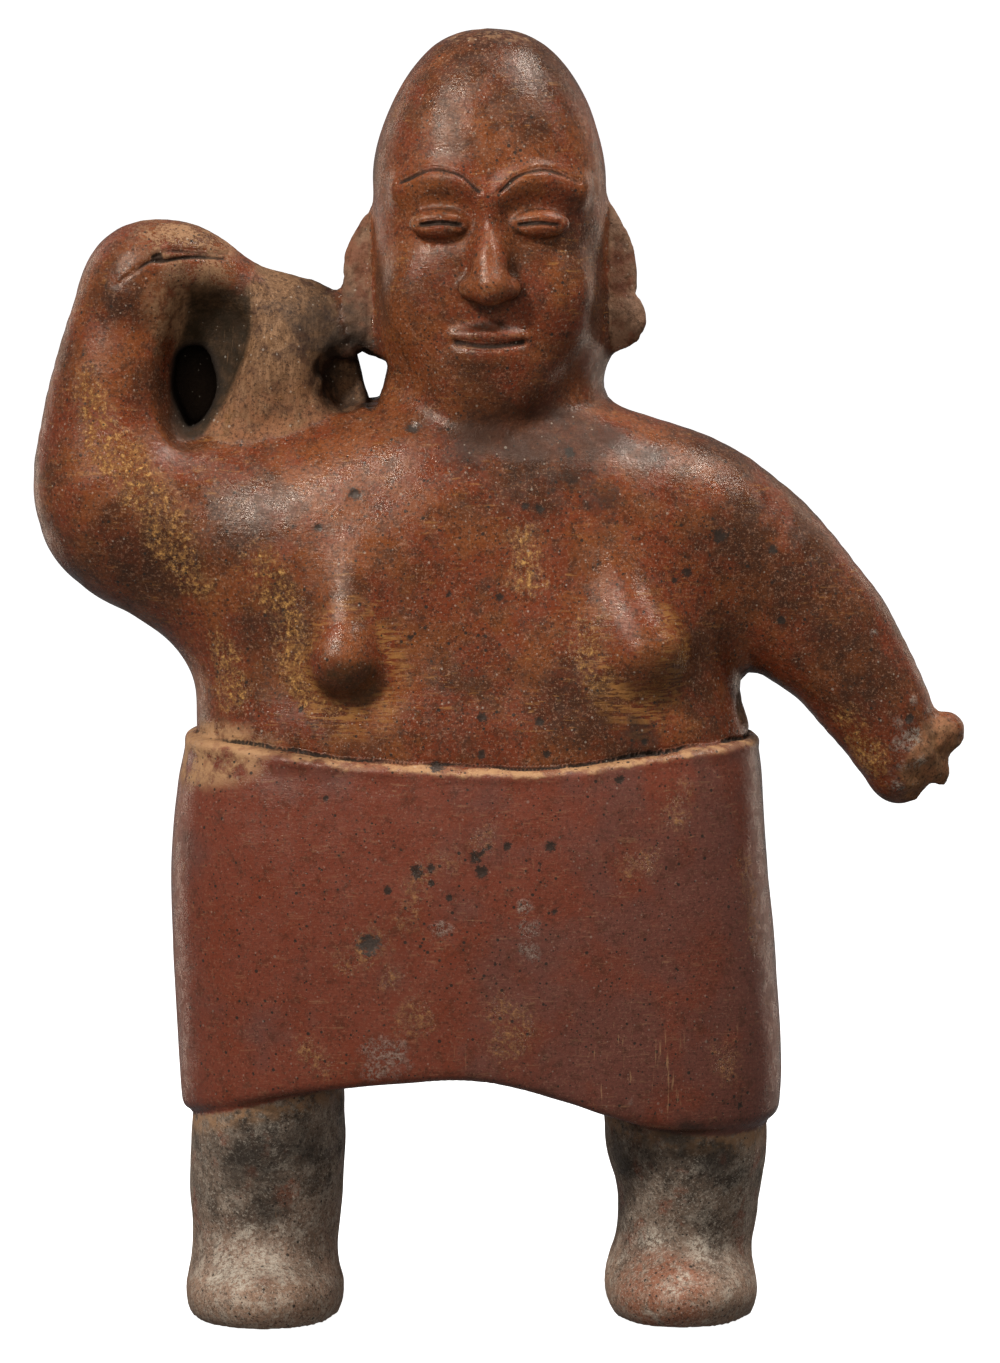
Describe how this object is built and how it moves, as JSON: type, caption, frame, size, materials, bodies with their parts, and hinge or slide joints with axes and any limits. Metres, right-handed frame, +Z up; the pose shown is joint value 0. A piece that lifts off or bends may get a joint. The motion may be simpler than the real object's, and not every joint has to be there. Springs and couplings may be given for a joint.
{
  "type": "pottery figure of a standing woman",
  "caption": "Hollow hand-built pottery figure of a standing woman in a long skirt, steadying a rounded load on one shoulder; it stands on its own feet.",
  "frame": {"origin": "on the ground under the middle of the figure's bounding box", "axes": "+Z up, the figure faces -Y, its raised arm is on the -X side"},
  "size_m": [0.2608, 0.1016, 0.3599],
  "materials": {
    "red_slip_clay": "burnished red slip over buff clay, fire-clouded grey on the legs"
  },
  "bodies": {
    "root": {"pottery_figure": "red_slip_clay"}
  },
  "joints": []
}
